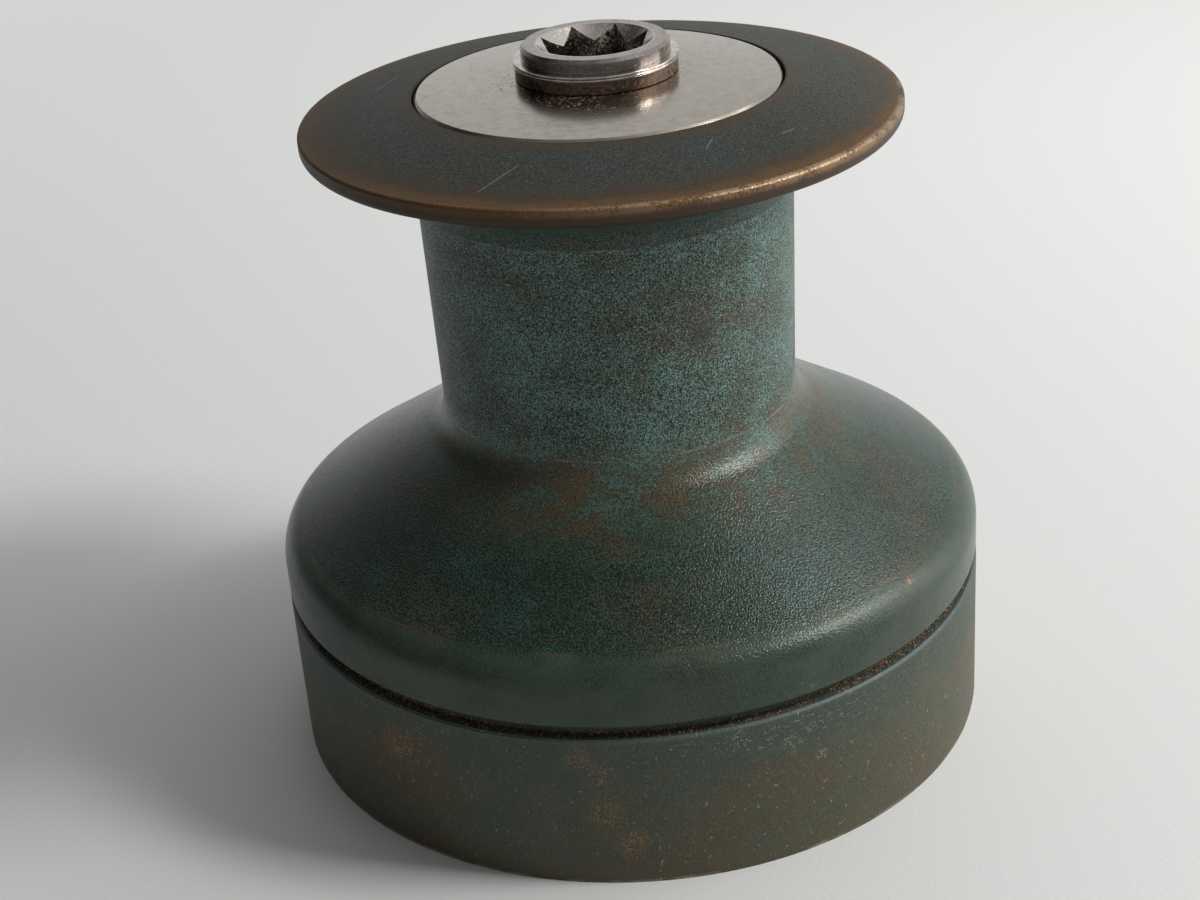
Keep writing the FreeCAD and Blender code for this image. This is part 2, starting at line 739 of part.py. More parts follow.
neckHeight = size.ring_base - size.ratchet_base
pinion = gearBlank(size.pinion_teeth, size.ring_base, size.ring_gear_width, gearCentre)
pinion = pinion.fuse(bar(size.neck_radius, size.ratchet_base, neckHeight, gearCentre))
pinion = pinion.cut(bar(size.gear_shaft_radius + size.running, size.ratchet_base,
                        neckHeight + size.ring_gear_width, gearCentre))
solidPart("pinion", pinion.removeSplitter())

carrier = bar(size.carrier_radius, size.ratchet_base, size.carrier_height, gearCentre)
carrier = carrier.cut(bar(size.neck_radius, size.ratchet_base, size.carrier_height, gearCentre))
solidPart("pawl_carrier", carrier.cut(pawlSet(
    size.pawl_count, size.pawl_reach, 1.0, size.pocket_gap, size.ratchet_base,
    size.carrier_height, True, gearCentre)))
solidPart("pinion_pawls", pawlSet(
    size.pawl_count, size.pawl_reach, 1.0, 0.0, size.ratchet_base,
    size.carrier_height - size.side_gap, False, gearCentre))
doc.recompute()
# Every object has to be sound before anything is written
nodes = {}
for item in doc.Objects:
    if "Invalid" in item.State or "Error" in item.State:
        raise RuntimeError("%s failed: %s" % (item.Name, item.State))
    isPiece = item.TypeId == "PartDesign::Body" or item.TypeId.startswith("Part::")
    isUsed = any(user.TypeId == "Part::Cut" for user in item.InList)
    if isPiece and not isUsed:
        nodes[item.Label] = item.Shape
for label, shape in nodes.items():
    if shape.isNull() or not shape.isValid():
        raise RuntimeError("%s has no valid shape" % label)
os.makedirs("parts", exist_ok=True)
for label, shape in nodes.items():
    shape.exportStep("parts/%s.step" % label)
print("%d nodes written" % len(nodes))
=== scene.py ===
# Sheet winch: finishes, floor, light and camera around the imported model, in mm with z = 0 at the deck
import json
import random
from math import cos, pi, radians, sin, tan

import bmesh
import bpy
from mathutils import Matrix, Vector


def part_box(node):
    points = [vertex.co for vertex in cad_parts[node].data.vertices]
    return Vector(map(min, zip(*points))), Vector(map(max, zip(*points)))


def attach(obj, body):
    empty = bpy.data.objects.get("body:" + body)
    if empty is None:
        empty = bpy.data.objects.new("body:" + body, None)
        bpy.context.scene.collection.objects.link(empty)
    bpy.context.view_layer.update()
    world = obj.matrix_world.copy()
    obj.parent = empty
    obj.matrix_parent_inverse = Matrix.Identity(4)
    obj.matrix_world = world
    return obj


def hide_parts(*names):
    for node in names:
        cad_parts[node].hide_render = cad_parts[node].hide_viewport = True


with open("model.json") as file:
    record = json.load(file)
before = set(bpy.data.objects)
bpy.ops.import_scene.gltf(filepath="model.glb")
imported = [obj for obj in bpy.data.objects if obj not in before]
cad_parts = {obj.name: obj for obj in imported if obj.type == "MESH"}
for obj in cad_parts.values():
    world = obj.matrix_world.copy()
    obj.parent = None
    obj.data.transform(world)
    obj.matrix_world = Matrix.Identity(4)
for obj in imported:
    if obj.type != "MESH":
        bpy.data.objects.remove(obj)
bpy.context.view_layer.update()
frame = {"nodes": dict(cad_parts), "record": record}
nodes = frame["nodes"]
millimetre = 0.001
noiseMiddle = 0.5  # a noise wavers about this value


def sizeOf(node):
    low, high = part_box(node)
    return {"low": low.z / millimetre, "high": high.z / millimetre, "radius": high.x / millimetre}


def rounded(outline, steps=8):
    # corners given as (radius, height, round) become arcs of that round
    points = []
    for index, corner in enumerate(outline):
        here = Vector(corner[:2])
        if len(corner) == 2:
            points.append(here)
            continue
        before = (Vector(outline[index - 1][:2]) - here).normalized()
        after = (Vector(outline[(index + 1) % len(outline)][:2]) - here).normalized()
        halfAngle = before.angle(after) / 2
        middle = here + (before + after).normalized() * corner[2] / sin(halfAngle)
        first = here + before * corner[2] / tan(halfAngle) - middle
        last = here + after * corner[2] / tan(halfAngle) - middle
        sweep = first.angle_signed(last)
        for step in range(steps + 1):
            points.append(middle + Matrix.Rotation(-sweep * step / steps, 2) @ first)
    return points


def carried(profile, angle, lift=0.0):
    # a profile of (radius, height) points turned about the z axis and lifted
    return [(point.x * cos(angle), point.x * sin(angle), point.y + lift) for point in profile]


def skinned(name, rows, closed):
    # rows of points joined by faces, in a ring or with a face at each end
    mesh = bpy.data.meshes.new(name)
    shape = bmesh.new()
    loops = [[shape.verts.new([value * millimetre for value in point]) for point in row] for row in rows]
    nextLoops = loops[1:] + loops[:1] if closed else loops[1:]
    for loop, following in zip(loops, nextLoops):
        for index in range(len(loop)):
            shape.faces.new((loop[index - 1], following[index - 1], following[index], loop[index]))
    if not closed:
        shape.faces.new(loops[0])
        shape.faces.new(loops[-1])
    bmesh.ops.recalc_face_normals(shape, faces=shape.faces)
    shape.to_mesh(mesh)
    shape.free()
    return mesh


def newPiece(name, mesh, body, finish, sharpAngle=35):
    piece = bpy.data.objects.new(name, mesh)
    bpy.context.scene.collection.objects.link(piece)
    mesh.materials.append(finish)
    mesh.shade_smooth()
    mesh.set_sharp_from_angle(angle=radians(sharpAngle))
    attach(piece, body)
    return piece


def turned(name, outline, body, finish, segments=288):
    # a closed outline of (radius, height) swept round the z axis
    profile = rounded(outline)
    rows = [carried(profile, 2 * pi * step / segments) for step in range(segments)]
    return newPiece(name, skinned(name, rows, True), body, finish)


class Wire:  # a shader socket that can stand in a Python sum
    def __init__(self, finish, socket):
        self.finish = finish
        self.socket = socket

    def sum(self, operation, first, second):
        return self.finish.add("ShaderNodeMath", {"operation": operation}, {0: first, 1: second})

    def __add__(self, other):
        return self.sum("ADD", self, other)

    def __radd__(self, other):
        return self.sum("ADD", other, self)

    def __sub__(self, other):
        return self.sum("SUBTRACT", self, other)

    def __rsub__(self, other):
        return self.sum("SUBTRACT", other, self)

    def __mul__(self, other):
        return self.sum("MULTIPLY", self, other)

    def __rmul__(self, other):
        return self.sum("MULTIPLY", other, self)


class Finish:  # one material or world, its look, and what its nodes are made with
    def __init__(self, owner, look):
        owner.use_nodes = True
        self.owner = owner
        self.look = look
        self.tree = owner.node_tree
        self.tree.nodes.clear()

    def add(self, kind, settings, sockets, out=0):
        node = self.tree.nodes.new(kind)
        for key, value in settings.items():
            setattr(node, key, value)
        for key, value in sockets.items():
            if isinstance(value, Wire):
                self.tree.links.new(value.socket, node.inputs[key])
            else:
                node.inputs[key].default_value = value
        return Wire(self, node.outputs[out]) if node.outputs else None

    def vector(self, operation, sockets, out=0):
        return self.add("ShaderNodeVectorMath", {"operation": operation}, sockets, out)

    def place(self):
        # where on the object, in mm
        coordinates = self.add("ShaderNodeTexCoord", {}, {}, "Object")
        return self.vector("SCALE", {0: coordinates, "Scale": 1 / millimetre})

    def height(self, place):
        return self.add("ShaderNodeSeparateXYZ", {}, {0: place}, "Z")

    def radius(self, place):
        return self.vector("LENGTH", {0: self.stretched(place, (1, 1, 0))}, "Value")

    def stretched(self, place, factors, shift=(0, 0, 0)):
        return self.vector("MULTIPLY_ADD", {0: place, 1: factors, 2: shift})

    def outward(self, place):
        return self.vector("NORMALIZE", {0: self.stretched(place, (1, 1, 0))})

    def along(self, place, direction):
        return self.vector("DOT_PRODUCT", {0: place, 1: direction}, "Value")

    def towards(self, place, side):
        # 1 on the side named, -1 on the far side
        return self.along(self.outward(place), side)

    def roundAbout(self, place, spread):
        # the same value all along each turned ring, a little different from place to place round it
        bent = self.stretched(self.outward(place), (spread, spread, 0))
        ring = self.add("ShaderNodeCombineXYZ", {}, {"X": self.radius(place), "Z": self.height(place)})
        return self.vector("ADD", {0: bent, 1: ring})

    def noise(self, place, name):
        # the noise that the look gives under this name
        kind = self.look[name]
        moved = self.stretched(place, kind.get("stretch", (1, 1, 1)), kind.get("shift", (0, 0, 0)))
        return self.add("ShaderNodeTexNoise", {}, {
            "Vector": moved, "Scale": kind["perMm"], "Detail": kind["detail"], "Roughness": kind["rough"],
            "Distortion": kind.get("distortion", 0.0)})

    def rise(self, value, start, full):
        # 0 to 1 as value goes from start to full, which may be the lower one
        return self.add("ShaderNodeMapRange", {"interpolation_type": "SMOOTHSTEP"},
                        {"Value": value, "From Min": start, "From Max": full})

    def zone(self, value, name):
        return self.rise(value, *self.look[name])

    def band(self, value, low, high, soft):
        return self.rise(value, low - soft, low + soft) * self.rise(value, high + soft, high - soft)

    def mix(self, factor, first, second):
        tones = {0: factor, 6: self.tone(first), 7: self.tone(second)}  # 6 and 7 are its colour sockets
        return self.add("ShaderNodeMix", {"data_type": "RGBA", "clamp_factor": True}, tones, 2)

    def tone(self, value):
        return value if isinstance(value, Wire) else (*value, 1)

    def layer(self, name, under, value, weight=1):
        # a mark of the look laid over what is under it
        tone, start, full, cover = self.look[name]
        return self.mix(self.rise(value, start, full) * cover * weight, under, self.look[tone])

    def spot(self, place, centre, size, wobble, inside=0.6, outside=1.5):
        # a soft blot about a point, its edge broken by the noise
        distance = self.vector("DISTANCE", {0: place, 1: centre}, "Value")
        return 1 - self.rise(distance + wobble * size, inside * size, outside * size)

    def streak(self, place, start, end, width, endSoft=0.6, sideSoft=0.12):
        # a straight scratch seen from above, from one (x, y) point to another
        line = Vector((end[0] - start[0], end[1] - start[1], 0))
        direction = line.normalized()
        shifted = self.stretched(place, (1, 1, 0), (-start[0], -start[1], 0))
        reach = self.along(shifted, direction)
        aside = self.along(shifted, Vector((-direction.y, direction.x, 0)))
        return self.band(reach, 0, line.length, endSoft) * self.band(aside, -width, width, sideSoft)

    def bump(self, height, distance):
        return self.add("ShaderNodeBump", {}, {"Height": height, "Distance": distance * millimetre})

    def surface(self, sockets):
        shader = self.add("ShaderNodeBsdfPrincipled", {}, sockets)
        self.add("ShaderNodeOutputMaterial", {}, {"Surface": shader})
        return self.owner


def newFinish(name, look):
    return Finish(bpy.data.materials.new(name), look)


# In every look, a zone is the two values between which something comes in, and a mark is its tone, the
# values of its noise, height or radius that start and fill it, and how much it covers.
drumLook = {
    "coneGreen": (0.018, 0.034, 0.020),
    "coneTeal": (0.022, 0.060, 0.047),
    "coneBrown": (0.058, 0.040, 0.018),
    "lowBand": (0.053, 0.074, 0.054),
    "footBrown": (0.155, 0.088, 0.036),
    "barrelGround": (0.007, 0.011, 0.010),
    "barrelTeal": (0.192, 0.340, 0.300),
    "grainBrown": (0.110, 0.066, 0.038),
    "pale": (0.26, 0.29, 0.25),
    "cyan": (0.06, 0.30, 0.38),
    "stain": (0.035, 0.033, 0.034),
    "throat": (0.024, 0.030, 0.024),
    "flange": (0.014, 0.015, 0.011),
    "flangeGreen": (0.017, 0.022, 0.019),
    "flangeBrown": (0.046, 0.027, 0.011),
    # pale grey of the flange's grains, also used for the painted sheen on its lit side
    "dustAndSheen": (0.082, 0.085, 0.072),
    "rimGold": (0.185, 0.086, 0.021),
    # painted highlight on the rim's top corner
    "rimHighlight": (0.62, 0.47, 0.33),
    "rimDark": (0.050, 0.030, 0.018),
    "copper": (0.40, 0.15, 0.08),
    # noises, from the widest clouds to the finest grain
    "broad": {"perMm": 0.030, "detail": 4, "rough": 0.60},
    "middle": {"perMm": 0.10, "detail": 5, "rough": 0.62, "stretch": (1, 1, 1.6), "shift": (40, 3, 9)},
    "scrape": {"perMm": 1.6, "detail": 3, "rough": 0.70, "stretch": (0.35, 0.35, 1.0), "shift": (3, 5, 7)},
    "speck": {"perMm": 1.7, "detail": 2, "rough": 0.60, "shift": (31, 7, 13)},
    "grain": {"perMm": 2.3, "detail": 1.5, "rough": 0.50, "shift": (3, 51, 23)},
    "chalk": {"perMm": 2.9, "detail": 1, "rough": 0.50},
    "fleck": {"perMm": 3.3, "detail": 1.5, "rough": 0.50, "distortion": 0.9},
    # cone and lower band
    "lowBandZone": (54.0, 52.0),
    "tealClouds": ("coneTeal", 0.42, 0.66, 1.0),
    "brownClouds": ("coneBrown", 0.50, 0.66, 0.65),
    "brownCloudWander": 0.3,
    "coneFlecks": ("barrelTeal", 0.46, 0.60, 0.16),
    "coneGrains": ("grainBrown", 0.55, 0.68, 0.20),
    # dark in the grain's hollows: partly dark patina, partly painted shade
    "coneHollows": ("barrelGround", 0.54, 0.42, 0.85),
    "lowBandCover": 0.45,
    "lowBandPatchCover": 0.40,
    "lowBandPatches": (0.35, 0.65),
    # barrel and the foot that it stands on
    "barrelZone": (71.0, 83.0),
    "footBand": (67.0, 81.0, 5.0),
    "brownDrift": 0.35,
    "brownWander": 0.25,
    "fleckLoss": 0.5,
    "fleckCover": 0.92,
    # fewer flecks above the top lathe line: partly its smoother turned surface, partly painted shade under
    # the flange
    "fleckCoverLost": 0.50,
    "barrelFlecks": ("barrelTeal", 0.46, 0.59, 1.0),
    "barrelGrains": ("grainBrown", 0.50, 0.62, 0.62),
    "chalkDots": ("pale", 0.68, 0.76, 0.50),
    "footWander": 0.9,
    "footClouds": ("footBrown", 0.42, 0.66, 0.52),
    "footGreens": ("barrelTeal", 0.50, 0.38, 0.24),
    # lathe marks, stain, chips, scrapes and the throat, darkened with painted shade under the flange
    "latheLines": ((53.0, "grainBrown"), (78.6, "pale"), (126.3, "pale")),
    "lineBelow": 0.15,
    "lineAbove": 0.20,
    "lineSoft": 0.12,
    "lineWear": (0.42, 0.60),
    "lineCover": 0.5,
    "stainPlace": (17.2, -36.4, 104.7),
    "stainSize": 5.5,
    "stainCover": 0.55,
    "chipPlaces": ((33.5, -22.3, 115.2), (25.9, -30.8, 110.1)),
    "chipSize": 0.45,
    "chipSquash": 0.4,
    "chipCover": 0.8,
    "scrapedPlace": (33.5, -72.0, 40.5),
    "scrapedSize": 5.0,
    "scrapes": ("pale", 0.60, 0.66, 0.55),
    "copperPlace": (58.0, -51.7, 51.6),
    "copperSize": 0.9,
    "copperCover": 0.9,
    "topLineZone": (126.0, 126.6),
    "throatShadeZone": (132.3, 138.3),
    "throatShadeCover": 0.85,
    # flange
    "flangeZone": (143.2, 143.8),
    "flangeClouds": ("flangeGreen", 0.38, 0.62, 1.0),
    "flangeFlecks": ("pale", 0.54, 0.66, 0.22),
    "flangeGrains": ("dustAndSheen", 0.50, 0.62, 0.35),
    "flangeHollows": ("barrelGround", 0.50, 0.38, 0.55),
    "rimHaloWander": 9.0,
    "rimHalo": (52.2, 61.2),
    "capHaloWander": 7.0,
    "capHalo": (44.6, 39.6),
    "haloCover": 0.85,
    # painted sheen: the flange is painted paler and greyer on the side toward the light
    "sheenSide": (0.95, 0.30, 0.0),
    "sheenWander": 0.4,
    "sheenZone": (0.3, 1.0),
    "sideSheen": ("dustAndSheen", 0.36, 0.56, 0.45),
    # painted shade: a dark ring on the flange beside the gap round the cap
    "gapShade": ("barrelGround", 40.3, 39.75, 0.85),
    "scratchWidth": 0.10,
    "scratchCover": 0.6,
    "scratches": (
        ((-24.2, -53.1), (-16.5, -45.5), "pale"), ((-15.5, -59.5), (-12.5, -57.0), "barrelGround"),
        ((1.0, -58.6), (5.0, -57.0), "barrelGround"), ((47.6, -6.6), (48.9, -3.6), "barrelGround"),
        ((-3.0, -60.5), (0.5, -59.2), "barrelGround"), ((20.0, -44.0), (21.5, -40.0), "pale"),
        ((38.0, -34.0), (35.5, -36.5), "pale"), ((-48.0, 12.0), (-44.0, 20.0), "pale"),
        ((18.0, 52.0), (25.0, 46.0), "pale"), ((-30.0, 42.0), (-27.5, 47.0), "barrelGround"),
    ),
    # worn gold along the flange's edge
    "handledSide": (0.30, -0.95, 0.0),
    "handledZone": (0.15, 0.85),
    "leastHandled": 0.25,
    "goldWander": 7.0,
    "goldScatter": 3.0,
    "goldZone": (59.2, 63.8),
    "goldCover": 0.68,
    "goldPits": ("rimDark", 0.50, 0.60, 0.75),
    "rimRadii": (62.0, 63.0),
    "rimFoot": (139.5, 140.5),
    "rimTop": (143.8, 143.3),
    "rubbedWander": 2.0,
    "rubbedScatter": 1.2,
    "rubbedZone": (141.6, 143.2),
    "rubbedCover": 0.45,
    # a painted highlight along the rim's top corner, over worn bronze, strongest on the side toward the
    # light
    "brightSide": (0.78, -0.62, 0.0),
    "brightSideZone": (0.2, 0.95),
    "leastBright": 0.06,
    "brightBand": (63.2, 64.3, 0.5),
    "brightHeights": (142.0, 143.2),
    "brightScatter": 0.7,
    "brightPatches": (0.38, 0.58),
    "brightCover": 0.5,
    "goldWear": 0.6,
    "wornZone": (0.1, 0.9),
    # shine and grain: what each place adds to the cone's roughness, and how much grain it loses
    "roughness": {"cone": 0.24, "barrel": 0.24, "flange": 0.16, "foot": -0.06, "worn": -0.16,
                  "patches": 0.12},
    "grainLost": {"flange": 0.30, "throat": 0.45, "lowBand": 0.35, "foot": 0.35},
    "grainDepth": 0.17,
    "fleckRelief": 0.25,
    "metallic": 0.10,
    "wornMetallic": 0.75,
    "specular": 0.30,
}


def drumBronze():
    look = drumLook
    finish = newFinish("drum_bronze_patina", look)
    place = finish.place()
    height = finish.height(place)
    radius = finish.radius(place)
    broad = finish.noise(place, "broad")
    middle = finish.noise(place, "middle")
    fleck = finish.noise(place, "fleck")
    speck = finish.noise(place, "speck")
    grain = finish.noise(place, "grain")
    wander = middle - noiseMiddle
    scatter = speck - noiseMiddle

    barrel = finish.zone(height, "barrelZone")
    onTop = finish.zone(height, "flangeZone")
    throatShade = finish.zone(height, "throatShadeZone") * (1 - onTop)
    aboveLine = finish.zone(height, "topLineZone")
    foot = finish.band(height, *look["footBand"])
    lowBand = finish.zone(height, "lowBandZone")

    # cone and lower band: green under teal and brown clouds, its grain dark in the hollows, partly dark
    # patina and partly painted shade
    cone = finish.layer("tealClouds", look["coneGreen"], middle)
    cone = finish.layer("brownClouds", cone, broad + look["brownCloudWander"] * wander)
    cone = finish.layer("coneFlecks", cone, fleck)
    cone = finish.layer("coneGrains", cone, speck)
    cone = finish.layer("coneHollows", cone, grain)
    bandCover = look["lowBandCover"] + look["lowBandPatchCover"] * finish.zone(middle, "lowBandPatches")
    cone = finish.mix(lowBand * bandCover, cone, look["lowBand"])

    # barrel: short teal flecks on a dark ground, brown grains between them
    browner = look["brownDrift"] * (broad - noiseMiddle) + look["brownWander"] * wander
    # fewer flecks above the top lathe line, partly a smoother surface and partly painted shade under the
    # flange
    fleckCover = look["fleckCover"] - look["fleckCoverLost"] * aboveLine
    flecks = fleck - look["fleckLoss"] * browner
    tube = finish.layer("barrelFlecks", look["barrelGround"], flecks, fleckCover)
    tube = finish.layer("barrelGrains", tube, speck + browner)
    tube = finish.layer("chalkDots", tube, finish.noise(place, "chalk"))

    body = finish.mix(barrel, cone, tube)
    footPatches = speck + look["footWander"] * wander
    body = finish.layer("footClouds", body, footPatches, foot)
    body = finish.layer("footGreens", body, footPatches, foot)

    # marks of the lathe, a stain and a few scratches
    for line, tone in look["latheLines"]:
        trace = finish.band(height, line - look["lineBelow"], line + look["lineAbove"], look["lineSoft"])
        trace = trace * finish.zone(middle, "lineWear")
        body = finish.mix(trace * look["lineCover"], body, look[tone])
    stained = finish.spot(place, look["stainPlace"], look["stainSize"], middle)
    body = finish.mix(stained * look["stainCover"], body, look["stain"])
    squash = look["chipSquash"]
    for chipPlace in look["chipPlaces"]:
        squashed = finish.stretched(place, (1, 1, squash), (0, 0, (1 - squash) * chipPlace[2]))
        chip = finish.spot(squashed, chipPlace, look["chipSize"], speck)
        body = finish.mix(chip * look["chipCover"], body, look["cyan"])
    scraped = finish.spot(place, look["scrapedPlace"], look["scrapedSize"], middle)
    body = finish.layer("scrapes", body, finish.noise(place, "scrape"), scraped)
    copper = finish.spot(place, look["copperPlace"], look["copperSize"], speck)
    body = finish.mix(copper * look["copperCover"], body, look["copper"])
    # painted shade: the throat and the flange's underside are darkened under the flange
    body = finish.mix(throatShade * look["throatShadeCover"], body, look["throat"])

    # flange: olive and green with brown halos, and painted paler on the side toward the light as a painted
    # sheen
    flange = finish.layer("flangeClouds", look["flange"], broad)
    flange = finish.layer("flangeFlecks", flange, fleck)
    flange = finish.layer("flangeGrains", flange, grain)
    flange = finish.layer("flangeHollows", flange, grain)
    rimHalo = finish.zone(radius + look["rimHaloWander"] * wander, "rimHalo")
    capHalo = finish.zone(radius + look["capHaloWander"] * wander, "capHalo")
    flange = finish.mix((rimHalo + capHalo) * look["haloCover"], flange, look["flangeBrown"])
    # painted sheen: paler and greyer on the side toward the light
    sheenSide = finish.towards(place, look["sheenSide"])
    litSheen = finish.zone(sheenSide + look["sheenWander"] * wander, "sheenZone")
    flange = finish.layer("sideSheen", flange, grain, litSheen)

    # golden where ropes and hands have worn its edge
    reached = finish.zone(finish.towards(place, look["handledSide"]), "handledZone")
    handled = look["leastHandled"] + (1 - look["leastHandled"]) * reached
    goldRadius = radius + look["goldWander"] * wander + look["goldScatter"] * scatter
    gold = finish.zone(goldRadius, "goldZone") * handled
    flange = finish.mix(gold * look["goldCover"], flange, look["rimGold"])
    flange = finish.layer("goldPits", flange, speck, gold)
    # painted shade in the gap between flange and cap
    flange = finish.layer("gapShade", flange, radius)
    for start, end, tone in look["scratches"]:
        scratch = finish.streak(place, start, end, look["scratchWidth"])
        flange = finish.mix(scratch * look["scratchCover"], flange, look[tone])
    body = finish.mix(onTop, body, flange)

    # the edge itself: dark below, rubbed along its top, and a painted highlight along its top corner,
    # strongest on the side toward the light
    rim = finish.zone(radius, "rimRadii") * finish.zone(height, "rimFoot") * finish.zone(height, "rimTop")
    rubbedHeight = height + look["rubbedWander"] * wander + look["rubbedScatter"] * scatter
    rubbed = finish.zone(rubbedHeight, "rubbedZone") * handled
    rimTone = finish.mix(rubbed * look["rubbedCover"], look["rimDark"], look["rimGold"])
    body = finish.mix(rim, body, rimTone)
    # painted highlight, strongest on the side toward the light
    highlightFacing = finish.zone(finish.towards(place, look["brightSide"]), "brightSideZone")
    highlightSideAmount = look["leastBright"] + (1 - look["leastBright"]) * highlightFacing
    bright = finish.band(radius, *look["brightBand"]) * finish.zone(height, "brightHeights")
    bright = bright * finish.zone(middle + look["brightScatter"] * scatter, "brightPatches") * highlightSideAmount
    body = finish.mix(bright * look["brightCover"], body, look["rimHighlight"])

    worn = finish.zone(gold * onTop * look["goldWear"] + bright, "wornZone")
    rough = look["roughness"]
    roughness = rough["cone"] + rough["barrel"] * barrel + rough["flange"] * onTop + rough["foot"] * foot
    roughness = roughness + rough["worn"] * worn + rough["patches"] * wander
    lost = look["grainLost"]
    grainLeft = 1 - lost["flange"] * onTop - lost["throat"] * aboveLine * (1 - onTop)
    grainLeft = grainLeft - lost["lowBand"] * lowBand - lost["foot"] * foot
    return finish.surface({
        "Base Color": body, "Roughness": roughness,
        "Metallic": look["metallic"] + look["wornMetallic"] * worn,
        "Specular IOR Level": look["specular"],
        "Normal": finish.bump(grain * grainLeft + look["fleckRelief"] * fleck, look["grainDepth"]),
    })


baseLook = {
    "olive": (0.073, 0.081, 0.052),
    "green": (0.055, 0.074, 0.056),
    "brown": (0.096, 0.071, 0.039),
    "dark": (0.026, 0.028, 0.021),
    "teal": (0.115, 0.165, 0.150),
    "rust": (0.42, 0.185, 0.065),
    "crust": (0.36, 0.38, 0.29),
    # colour of the painted highlight on the top edge
    "edge": (0.11, 0.15, 0.155),
    # noises, from the widest clouds to the finest grain
    "broad": {"perMm": 0.026, "detail": 4, "rough": 0.60, "stretch": (1, 1, 1.4)},
    "middle": {"perMm": 0.10, "detail": 5, "rough": 0.65},
    "speck": {"perMm": 0.6, "detail": 4, "rough": 0.65, "shift": (5, 17, 41)},
    "fleck": {"perMm": 1.1, "detail": 3, "rough": 0.60, "shift": (11, 2, 5)},
    "scuff": {"perMm": 1.1, "detail": 3, "rough": 0.70, "stretch": (0.5, 0.5, 1.4), "shift": (7, 3, 1)},
    "dot": {"perMm": 1.2, "detail": 1, "rough": 0.50, "shift": (13, 3, 37)},
    "stipple": {"perMm": 2.4, "detail": 2, "rough": 0.60, "shift": (3, 29, 7)},
    "grain": {"perMm": 2.8, "detail": 1.5, "rough": 0.50},
    # patina, greener towards the top
    "upWander": 14.0,
    "upZone": (18.0, 35.9),
    "greenUp": 0.25,
    "greenClouds": ("green", 0.42, 0.70, 1.0),
    "brownWander": 0.5,
    "brownClouds": ("brown", 0.40, 0.62, 0.75),
    "tealFlecks": ("teal", 0.56, 0.70, 0.45),
    "hollows": ("dark", 0.54, 0.34, 0.60),
    "footWander": 5.0,
    "footBrown": ("brown", 8.0, 1.5, 0.45),
    # rust, as a thin bloom and in stippled patches
    "rustDrift": 0.5,
    "rustBloom": (0.68, 0.76),
    "bloomCover": 0.7,
    "rustGrains": (0.50, 0.63),
    "rustCover": 0.80,
    "rustPlaces": (((-14.0, -78.9, 31.0), 4.5), ((-9.5, -79.6, 27.0), 4.5), ((-9.5, -79.6, 17.5), 6.0),
                   ((-53.3, -59.9, 25.0), 6.5), ((-4.0, -80.1, 10.0), 5.0)),
    # pale crust, in patches, in scuffs under the top edge, in dots and along the foot
    "crustSpecks": (0.76, 0.80),
    "crustSpeckCover": 0.4,
    "crustScatter": 0.4,
    "crustGrains": (0.74, 0.84),
    "crustCover": 0.65,
    "crustPlaces": (((30.1, -74.3, 28.2), 3.4), ((36.5, -71.4, 23.0), 2.2), ((19.0, -78.0, 33.0), 3.0),
                    ((34.5, -72.5, 31.0), 2.0)),
    "scuffedBand": (29.0, 34.5, 1.0),
    "scuffedSide": (0.36, -0.93, 0.0),
    "scuffedZone": (0.93, 0.98),
    "scuffs": (0.60, 0.66),
    "scuffCover": 0.8,
    "dots": ("crust", 0.72, 0.76, 0.60),
    "footPatches": (0.4, 0.6),
    "footCrust": ("crust", 0.9, 0.3, 0.50),
    # painted highlight along the top edge
    "edgeHighlightHeights": (34.6, 35.4),
    "edgeHighlightRadii": (78.9, 79.4),
    "edgeHighlightCover": 0.25,
    # shine and grain
    "roughness": 0.50,
    "roughPatches": 0.2,
    "metallic": 0.10,
    "specular": 0.40,
    "grainDepth": 0.12,
    "crustRelief": 0.8,
    "rustRelief": 0.4,
}


